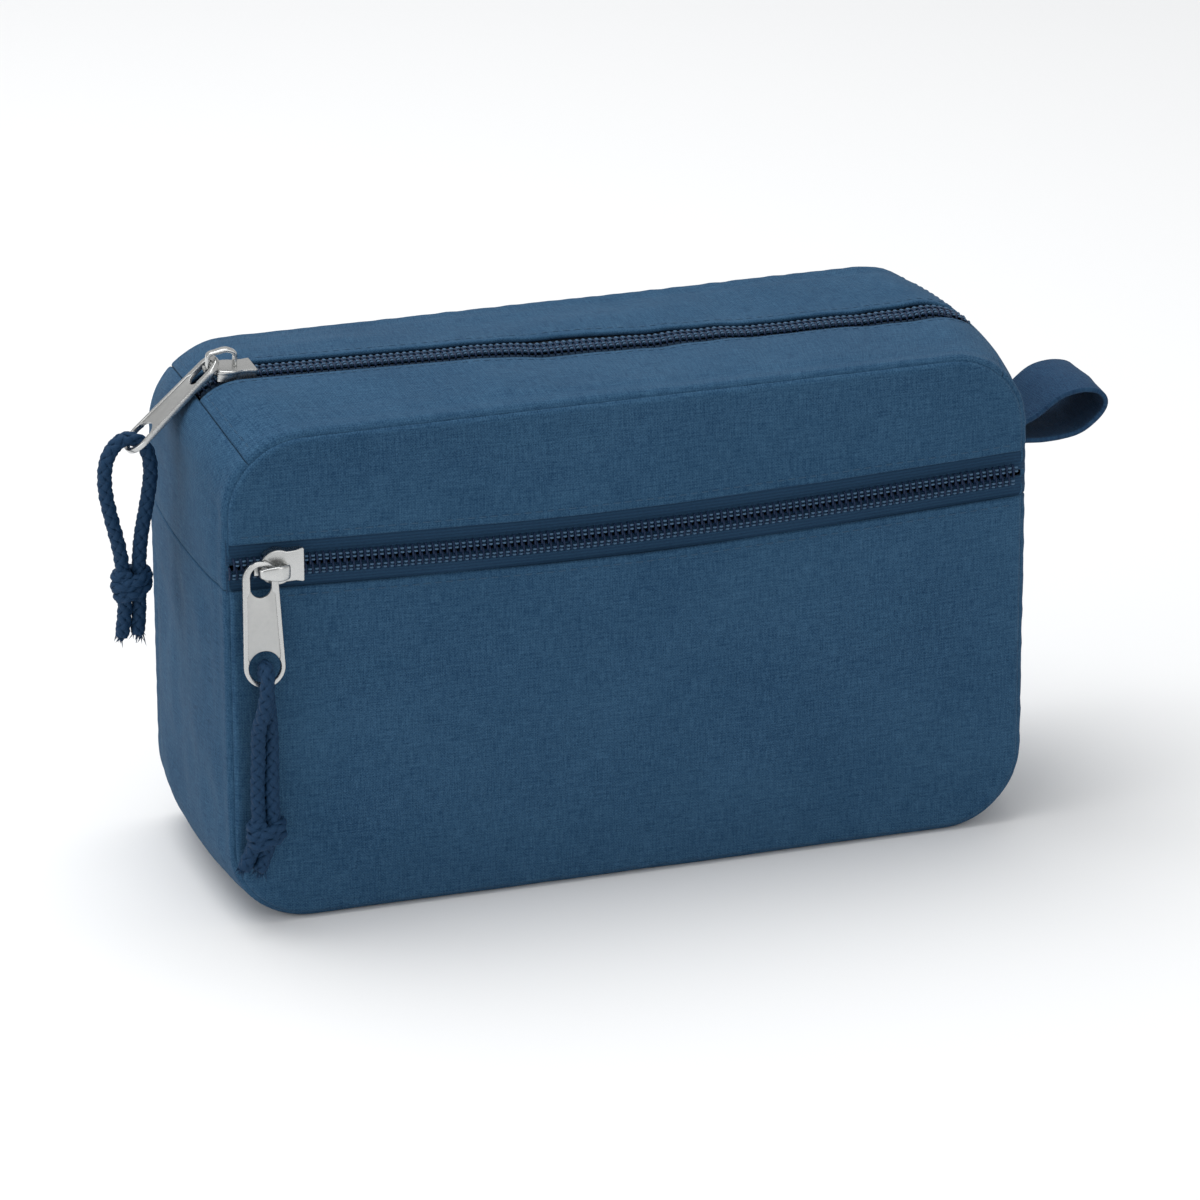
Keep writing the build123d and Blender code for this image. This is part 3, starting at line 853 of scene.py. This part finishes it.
fold_angle = np.radians(np.linspace(0, 180, 12))[1:]
fold_in = np.concatenate([FOLD * np.sin(fold_angle), [-2.0, -4.0]])
fold_under = np.concatenate([-FOLD * (1 - np.cos(fold_angle)), [-2 * FOLD] * 2])
low_rows = PANEL_LOW + close_ends(LOW_FOLD_Z - FOLD - PANEL_LOW, 1.7)
low_z = np.concatenate([low_rows, LOW_FOLD_Z - FOLD + fold_in])
low_lift = np.concatenate([0 * low_rows, fold_under])
panel_sheet(
    "pocket_front_cloth", front_surface, low_z, low_lift, (223.0, 101.0),
    "pocket_front_panel",
)
high_rows = HIGH_FOLD_Z + FOLD + close_ends(PANEL_HIGH - HIGH_FOLD_Z - FOLD, 1.4)
high_z = np.concatenate([(HIGH_FOLD_Z + FOLD - fold_in)[::-1], high_rows])
high_lift = np.concatenate([fold_under[::-1], 0 * high_rows])
panel_sheet(
    "front_upper_cloth", front_surface, high_z, high_lift, (223.0, 32.5),
    "front_upper_panel",
)
back_rows = PANEL_LOW + close_ends(PANEL_HIGH - PANEL_LOW, 1.8)
panel_sheet(
    "back_cloth", back_surface, back_rows, 0 * back_rows, (223.0, 136.6), "back_panel"
)

# %% [markdown]
# Both zips are number 5 nylon coil. Each side is a knitted tape with a coil sewn along its edge,
# and the two coils mesh. A tooth is one turn of the coil: it rises from the tape, runs over
# towards the middle and bends down round the other side's thread. A chain of small stitches
# holds it. Teeth and stitches are drawn once as a path and repeated along the zip as one array.

# %% Zips
COIL_PITCH = 1.87
TAPE_DEPTH = 2.0  # tape below the cloth's outer face; the coil stands up to that face
TOOTH_ACROSS = np.array([2.95, 2.85, 2.3, 1.2, 0.2, -0.45, -0.5, -0.1])
TOOTH_HEIGHT = np.array([0.25, 1.0, 1.55, 1.75, 1.75, 1.45, 0.95, 0.7])
TOOTH_HALF = 0.36


def top_place(a, c, h):
    """Place on the top zip: a along the ridge, c towards the back, h above the tape."""
    return gusset_point("top", a, c, h - TAPE_DEPTH)


def pocket_place(a, c, h):
    """Place on the pocket zip: a along x, c upwards, h out of the tape."""
    a, c, h = np.broadcast_arrays(a, c, h)
    out = FACE_Y - 1.2 + ZIP_BULGE * belly(a, 1.6) + h
    return np.stack([a, -out, ZIP_Z - zip_sag(a) + c], -1)


def coil_row(place, starts, side):
    """Teeth of one side, tubes of six points round, at the places where they start."""
    along = starts[:, None] + np.linspace(0, 0.35, len(TOOTH_ACROSS))[None] * side
    path = place(along, side * TOOTH_ACROSS[None], TOOTH_HEIGHT[None])
    ahead = place(along + 0.5, side * TOOTH_ACROSS[None], TOOTH_HEIGHT[None])
    lengthwise = unit(ahead - path)
    heading = unit(np.gradient(path, axis=1))
    normal = unit(np.cross(heading, lengthwise))
    half = np.full(path.shape[:2], TOOTH_HALF)
    half[:, [0, -1]] = 0
    return tube_rings(path, lengthwise, normal, half, half, 6)


def stitches(place, starts, c, h, length, half):
    """Short rounded stitches along a line at c across and h high, one at each start."""
    share = np.array([0.0, 0.08, 0.3, 0.7, 0.92, 1.0])
    rise = np.array([-1.0, 0.0, 0.6, 0.6, 0.0, -1.0]) * half
    along = starts[:, None] + share[None] * length
    path = place(along, c, h + rise[None])
    side = unit(place(along, c + 0.5, h + rise[None]) - path)
    lengthwise = unit(place(along + 0.5, c, h + rise[None]) - path)
    width = np.broadcast_to(half * np.array([0.0, 0.8, 1.0, 1.0, 0.8, 0.0]), path.shape[:2])
    return tube_rings(path, side, np.cross(lengthwise, side), width, width, 5)


def trim(name, tubes, material, slot, body="case"):
    """Small closed pieces joined in one object."""
    return settle(closed_object(name, tubes, material), body, slot)


TOP_LENGTH = parts["top"][2][-1]
POCKET_HALF = 109.8


def zip_chain(zip_name, place, low, high, node_sides):
    """Both rows of teeth of one zip, and the chain stitches that hold them."""
    starts = np.arange(low, high, COIL_PITCH)
    for side, where in node_sides:
        shift = 0.0 if side < 0 else COIL_PITCH / 2
        name = f"{zip_name}_teeth_{where}"
        teeth = trim(name, coil_row(place, starts + shift, side), coil_nylon, "zip_coil")
        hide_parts(f"{zip_name}_zip_coil_{where}")
        sewn = [
            stitches(place, starts + shift + 0.35, side * c, h, 1.15, 0.27)
            for c, h in ((1.35, 1.95), (2.35, 1.72))
        ]
        trim(f"{zip_name}_coil_stitches_{where}", np.concatenate(sewn), thread_yarn, "zip_tape")


zip_chain("main", top_place, 1.0, TOP_LENGTH - 1.0, ((-1, "front"), (1, "back")))
pocket_low, pocket_high = -POCKET_HALF - 1.6, POCKET_HALF - 0.9
zip_chain("pocket", pocket_place, pocket_low, pocket_high, ((-1, "lower"), (1, "upper")))


def zip_tape(name, place, a, side, node):
    """Knitted tape from beside the middle to under the cloth, with a corded edge at the coil."""
    c = side * np.array([0.75, 0.85, 1.4, 3.0, 3.6, 5.0, 6.6, 8.2, 9.8])
    h = np.array([-0.2, 0.05, 0.1, 0.1, 0.0, 0.0, -0.05, -0.2, -0.35])
    points = place(a[:, None], c[None], h[None])
    uv = np.stack(np.broadcast_arrays(a[:, None], np.abs(c)[None]), -1)
    tape = sheet_object(name, points, uv, 0.5, tape_cloth)
    settle(tape, "case", "zip_tape", node)


top_a = np.linspace(0.2, TOP_LENGTH - 0.2, 140)
pocket_a = np.linspace(-POCKET_HALF - 2.4, POCKET_HALF + 2.4, 140)
for side, where in ((-1, "front"), (1, "back")):
    zip_tape(f"main_tape_{where}", top_place, top_a, side, f"main_zip_tape_{where}")
for side, where in ((-1, "lower"), (1, "upper")):
    zip_tape(f"pocket_tape_{where}", pocket_place, pocket_a, side, f"pocket_zip_tape_{where}")

# %% [markdown]
# Topstitching holds each folded edge down: a row of stitches two millimetres from the fold, a
# little lighter than the cloth where it stands up. The same stitch shape is laid on the
# cloth's own surface function, so each row follows the waves of the cloth.

# %% Topstitching
STITCH, STITCH_PITCH = 2.3, 3.1
OFF_FOLD = 2.2


def on_top(a, c, h):
    """Place on the top strips: a along the ridge, c towards the back, h above the cloth."""
    return gusset_point("top", a, c, h)


top_starts = np.arange(2.0, TOP_LENGTH - 4.0, STITCH_PITCH)
top_rows = [
    stitches(on_top, top_starts, side * (FOLD_Y + OFF_FOLD), -0.02, STITCH, 0.15)
    for side in (-1, 1)
]
trim("top_topstitching", np.concatenate(top_rows), stitch_yarn, "case_cloth")
front_starts = np.arange(-108.5, 106.5, STITCH_PITCH)
front_rows = [
    stitches(front_surface, front_starts, z, -0.02, STITCH, 0.15)
    for z in (LOW_FOLD_Z - OFF_FOLD, HIGH_FOLD_Z + OFF_FOLD)
]
trim("front_topstitching", np.concatenate(front_rows), stitch_yarn, "case_cloth")


def cross_row(part, s):
    """Stitches across the band beside a cross seam, s mm along its part."""

    def place(a, c, h):
        return gusset_point(part, c, a, h)

    rows = [
        stitches(place, np.arange(start, stop, STITCH_PITCH), s, -0.05, STITCH, 0.14)
        for start, stop in ((-36.0, -10.0), (10.0, 35.0))
    ]
    return np.concatenate(rows)


beside = [cross_row("top", s) for s in (2.4, TOP_LENGTH - 2.4)]
trim("cross_seam_stitching", np.concatenate(beside), stitch_yarn, "case_cloth")

# %% [markdown]
# Inside the case, and out of sight while both zips are shut, a lining divides the pocket from the
# main space, and a bias binding covers each raw seam. They are simple sheets: the lining is the
# panel's outline a little smaller, and a binding is a narrow strip that follows the seam round.

# %% Lining and seam bindings
LINING_Y = -30.4


def lining_surface(x, z):
    """Flat lining with slack waves, two millimetres inside the panel's outline."""
    slack = 0.3 * waves(x, z, 51, 70) * np.clip(inside_edge(x, z) / 10, 0, 1)
    middle = (PANEL_LOW + PANEL_HIGH) / 2
    return np.stack([x * 0.985, LINING_Y + slack, middle + (z - middle) * 0.975], -1)


lining_z = PANEL_LOW + close_ends(PANEL_HIGH - PANEL_LOW, 4.0)
lining_x = panel_columns(lining_z)[:, ::3]
lining_points = lining_surface(lining_x, np.broadcast_to(lining_z[:, None], lining_x.shape))
lining_uv = lining_points[..., [0, 2]]
lining = sheet_object("pocket_lining", lining_points, lining_uv, 0.4, lining_cloth)
settle(lining, "case", "lining", "pocket_back_panel")

seam_loop = np.concatenate([parts[part][0][:-1:4] for part in ("bottom", "left", "top", "right")])
seam_loop = np.concatenate([seam_loop, seam_loop[:1]])
loop_heading = unit(np.roll(seam_loop, -2, axis=0) - np.roll(seam_loop, 2, axis=0))
loop_inward = np.stack([loop_heading[:, 1], -loop_heading[:, 0]], -1)
loop_inward[[0, 1, -2, -1]] = loop_inward[2]


def seam_binding(name, y_start, y_end, node):
    """Strip round a seam, 3 mm inside it, bowed across its width like folded tape."""
    share = np.linspace(0, 1, 7)
    inset = 3.2 + 0.4 * (2 * share - 1) ** 2
    ring = seam_loop[:, None] + loop_inward[:, None] * inset[None, :, None]
    y = np.broadcast_to(y_start + (y_end - y_start) * share, ring.shape[:2])
    points = np.stack([ring[..., 0], y, ring[..., 1]], -1)
    uv = np.stack(np.broadcast_arrays(np.arange(len(points))[:, None] * 3.0, y), -1)
    strip = sheet_object(name, points, uv, 0.5, binding_cloth)
    merge_doubles(strip.data, turn_outwards=False)
    settle(strip, "case", "binding", node)


seam_binding("front_binding_tape", -37.4, -31.2, "front_seam_binding")
seam_binding("back_binding_tape", 32.2, 37.4, "back_seam_binding")

# %% [markdown]
# Each slider is a small zinc casting. The body's top plate is a rounded lobe with a square mouth,
# and a bent bar stands over it to hold the pull. The pull is pressed sheet: a plate between two
# raised rails, with a slot at the top and a round hole at the tip. Flat curves with a fine
# bevel make the plates, so each edge catches a line of light, and the bar is a swept section.

# %% Flat metal plates
def turned(x_axis, z_axis, origin):
    """Matrix of a plane in metres, from its x and z directions and its origin in mm."""
    x_axis, z_axis = Vector(x_axis), Vector(z_axis)
    matrix = Matrix((x_axis, z_axis.cross(x_axis), z_axis)).transposed().to_4x4()
    matrix.translation = Vector(origin) * MM
    return matrix


def circle_part(centre, radius, start, end, count=24):
    """Points of an arc between two angles in degrees, about a centre on the plane's y axis."""
    angle = np.radians(np.linspace(start, end, count))
    return np.stack([centre[0] + radius * np.cos(angle), centre[1] + radius * np.sin(angle)], -1)


def bevelled_plate(name, outlines, half, bevel, plane, height, material, body):
    """Plate cut from closed outlines, holes included, with round edges, at a height on a plane."""
    data = bpy.data.curves.new(name, "CURVE")
    data.dimensions, data.fill_mode = "2D", "BOTH"
    data.extrude, data.bevel_depth = (half - bevel) * MM, bevel * MM
    data.bevel_resolution, data.offset = 2, -bevel * MM
    for corners in outlines:
        spline = data.splines.new("POLY")
        spline.points.add(len(corners) - 1)
        flat = np.zeros((len(corners), 4))
        flat[:, :2], flat[:, 3] = corners * MM, 1
        spline.points.foreach_set("co", flat.ravel())
        spline.use_cyclic_u = True
    holder = bpy.data.objects.new(name, data)
    mesh = bpy.data.meshes.new_from_object(holder)
    bpy.data.objects.remove(holder)
    mesh.transform(plane @ Matrix.Translation((0, 0, height * MM)))
    merge_doubles(mesh)
    mesh.materials.clear()
    mesh.materials.append(material)
    mesh.polygons.foreach_set("use_smooth", np.ones(len(mesh.polygons), bool))
    mesh.set_sharp_from_angle(angle=radians(30))
    plate = bpy.data.objects.new(name, mesh)
    bpy.context.scene.collection.objects.link(plate)
    return settle(plate, body, "slider_metal")


# %% Pulls
TOP_RADIUS, TIP_RADIUS = 4.8, 5.6
TOP_CENTRE, TIP_CENTRE = (0.0, -4.05), (0.0, -28.3)
SLOT_HALF, SLOT_HIGH, SLOT_LOW = 2.9, -3.65, -6.35
TIP_HOLE = 4.4
PULL_HALF, WEB_HALF = 0.75, 0.42


def pull(name, plane, body, node):
    """Rails and rims round one long opening, and the thinner plate set in between them."""
    outer = np.concatenate([
        circle_part(TOP_CENTRE, TOP_RADIUS, 2, 178),
        circle_part(TIP_CENTRE, TIP_RADIUS, 178, 362),
    ])
    opening = np.concatenate([
        circle_part((0, SLOT_HIGH), SLOT_HALF, 0, 180),
        [(-SLOT_HALF, -7.4), (-3.75, -8.6), (-4.35, -25.6)],
        circle_part(TIP_CENTRE, TIP_HOLE, 156, 384),
        [(4.35, -25.6), (3.75, -8.6), (SLOT_HALF, -7.4)],
    ])
    rails = bevelled_plate(name, [outer, opening], PULL_HALF, 0.26, plane, 0, satin_metal, body)
    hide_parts(node)
    web = np.concatenate([
        [(-4.2, SLOT_LOW)],
        circle_part((0, SLOT_LOW), SLOT_HALF, 180, 360),
        [(4.2, SLOT_LOW), (4.9, -26.2)],
        circle_part(TIP_CENTRE, TIP_HOLE, 28, 152),
        [(-4.9, -26.2)],
    ])
    bevelled_plate(f"{name}_plate", [web], WEB_HALF, 0.12, plane, 0, recess_metal, body)


PULL_DROOP, PULL_TILT = radians(42.5), radians(6.0)
main_rim = np.array(joints["main_pull_swing"]["pos_m"]) / MM
pocket_leg = np.array(joints["pocket_pull_swing"]["pos_m"]) / MM
RIM_ABOVE_LEG = 2.25
pocket_rim = pocket_leg + np.array([0, 0, RIM_ABOVE_LEG])
main_pull_plane = turned((0, -1, 0), (-sin(PULL_DROOP), 0, cos(PULL_DROOP)), main_rim)
pocket_pull_plane = turned((1, 0, 0), (0, -cos(PULL_TILT), sin(PULL_TILT)), pocket_rim)
pull("main_pull", main_pull_plane, "main_pull", "main_pull_tab")
pull("pocket_pull", pocket_pull_plane, "pocket_pull", "pocket_pull_tab")

# %% Sliders
slide = np.array(joints["main_slide"]["axis"])
ridge_up = np.array([-slide[2], 0, slide[0]])
RIM_X, RIM_HIGH = -3.8, 5.4  # the main pull's rim on the slider's plane
LEG_X, LEG_OUT = -5.85, 4.8
main_plane = turned(slide, ridge_up, main_rim - RIM_X * slide - RIM_HIGH * ridge_up)
pocket_plane = turned((1, 0, 0), (0, -1, 0), pocket_leg - np.array([LEG_X, -LEG_OUT, 0]))
BRIDGE_LINE = [(-5.85, 3.2), (-5.85, 5.0), (-5.85, 7.1), (-3.4, 7.6), (-1.0, 8.2), (0.7, 7.6)]
BRIDGE_LINE += [(1.7, 6.9), (1.55, 5.0), (1.55, 3.2)]


def slider(name, plane, body, widest):
    """Top plate over the cast body, and the bent bridge, widest in the middle of its arch."""
    plan = np.concatenate([
        circle_part((-0.5, 0), 4.88, 60, 300),
        [(2.4, -4.2), (4.5, -4.3), (6.3, -4.75), (6.75, -4.5), (6.75, 4.5), (6.3, 4.75)],
        [(4.5, 4.3), (2.4, 4.2)],
    ])
    bevelled_plate(f"{name}_plate", [plan], 0.62, 0.3, plane, 2.86, satin_metal, body)
    line, distance = along_line(smooth_line([(x, 0.0, h) for x, h in BRIDGE_LINE]), 0.3)
    arch = np.sin(pi * np.clip(distance / distance[-1] * 1.25 - 0.25, 0, 1))
    half = 1.1 + (widest - 1.1) * arch
    thick = np.full(len(line), 0.55)
    half[[0, -1]] = thick[[0, -1]] = 0
    heading = unit(np.gradient(line, axis=0))
    side = np.broadcast_to([0.0, 1.0, 0.0], line.shape)
    angle = np.arange(16) * 2 * pi / 16
    wide = np.sign(np.cos(angle)) * np.abs(np.cos(angle)) ** 0.5
    tall = np.sign(np.sin(angle)) * np.abs(np.sin(angle)) ** 0.5
    out = np.cross(heading, side)
    rings = line[:, None] + (half[:, None] * wide)[..., None] * side[:, None]
    rings = rings + (thick[:, None] * tall)[..., None] * out[:, None]
    matrix = np.array(plane)
    placed = rings @ matrix[:3, :3].T + matrix[:3, 3] / MM
    bridge = trim(f"{name}_bridge_bar", placed[None], satin_metal, "slider_metal", body)
    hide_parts(f"{name}_bridge")
    for slot in frame["nodes"][f"{name}_body"].material_slots:
        slot.material = satin_metal


slider("main_slider", main_plane, "main_slider", 1.3)
slider("pocket_slider", pocket_plane, "pocket_slider", 2.1)

# %% [markdown]
# The carry loop is a folded strap sewn into the right end. Its line is a smooth curve that leaves
# the case, turns back on itself and returns, and the strap is that line carried across its
# width, with a little cup so that it isn't a hard band.

# %% Carry loop
STRAP_LINE = [(113.9, 101.6), (121.0, 101.0), (131.0, 100.6), (140.2, 102.0), (147.6, 108.6)]
STRAP_LINE += [(146.0, 113.6), (139.6, 115.2), (132.2, 114.0), (124.4, 106.6), (113.9, 104.2)]
STRAP_HALF = 12.0
strap_line, strap_along = along_line(smooth_line([(x, 0.0, z) for x, z in STRAP_LINE]), 0.9)
strap_y = np.concatenate([[-12.0, -11.7], np.linspace(-11, 11, 13), [11.7, 12.0]])
strap_out = unit(np.cross(np.gradient(strap_line, axis=0), [0.0, 1.0, 0.0]))
cup = 0.35 * (strap_y / STRAP_HALF) ** 2 + 0.2 * waves(strap_along[:, None], strap_y[None], 61, 30)
cup = cup * np.clip((strap_line[:, :1] - 114.5) / 8, 0, 1)
strap_points = strap_line[:, None] + strap_out[:, None] * cup[..., None]
strap_points = strap_points + np.array([0.0, 1.0, 0.0]) * strap_y[None, :, None]
strap_uv = np.stack(np.broadcast_arrays(strap_along[:, None], strap_y[None]), -1)
strap = sheet_object(
    "carry_loop_strap", strap_points, strap_uv, 1.3, strap_cloth, inside=np.array([136, 0, 107.7])
)
strap.modifiers["thickness"].offset = 0
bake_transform(strap)
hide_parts("carry_loop")
print("carry loop strap length in mm", round(strap_along[-1], 1))
